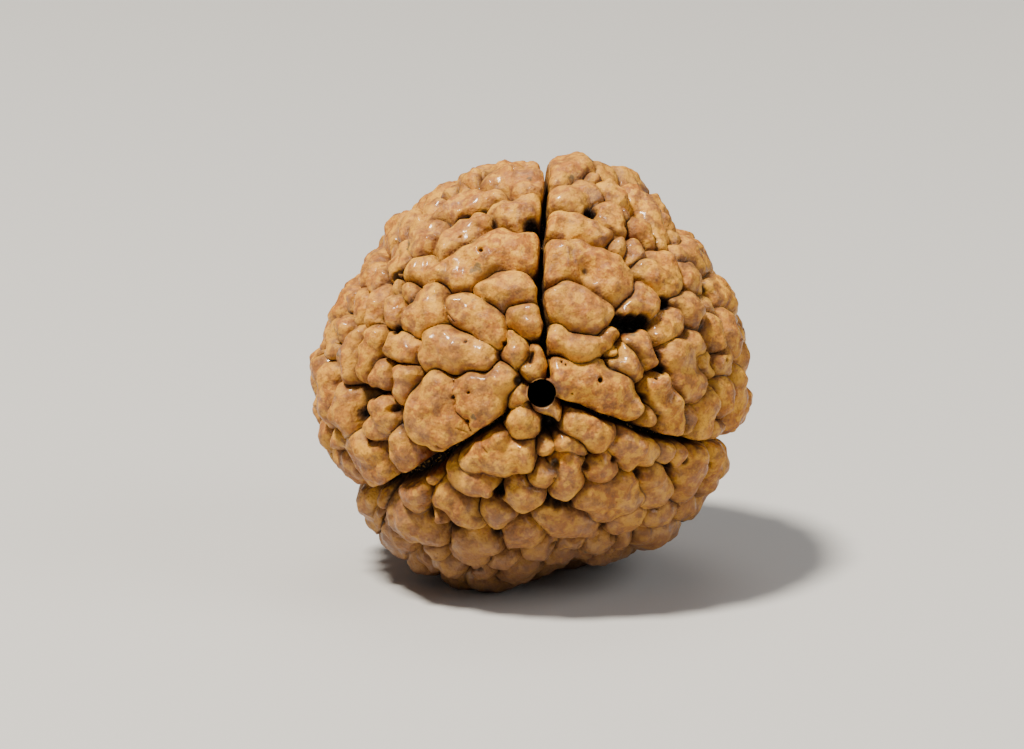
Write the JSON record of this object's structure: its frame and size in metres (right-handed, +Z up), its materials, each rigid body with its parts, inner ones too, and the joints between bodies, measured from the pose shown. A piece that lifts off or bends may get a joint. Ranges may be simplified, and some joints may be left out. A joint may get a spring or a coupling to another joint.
{
  "type": "rudraksha seed",
  "caption": "Round drilled seed bead with a lobed, wrinkled brown surface and deep clefts running from one end of its bore to the other.",
  "frame": {"origin": "on the ground under the middle of the seed's bounding box, which it rests on with a small flat foot", "axes": "+Z up from the flat foot; the bore runs front to back, its front mouth faces -Y and points about 8 degrees up; +X to the right as seen from the front"},
  "size_m": [0.024, 0.0238, 0.0234],
  "materials": {
    "seed": "dry tan brown seed shell with a faint waxy sheen, dark in its creases"
  },
  "bodies": {
    "root": {"seed": "seed"}
  },
  "joints": []
}
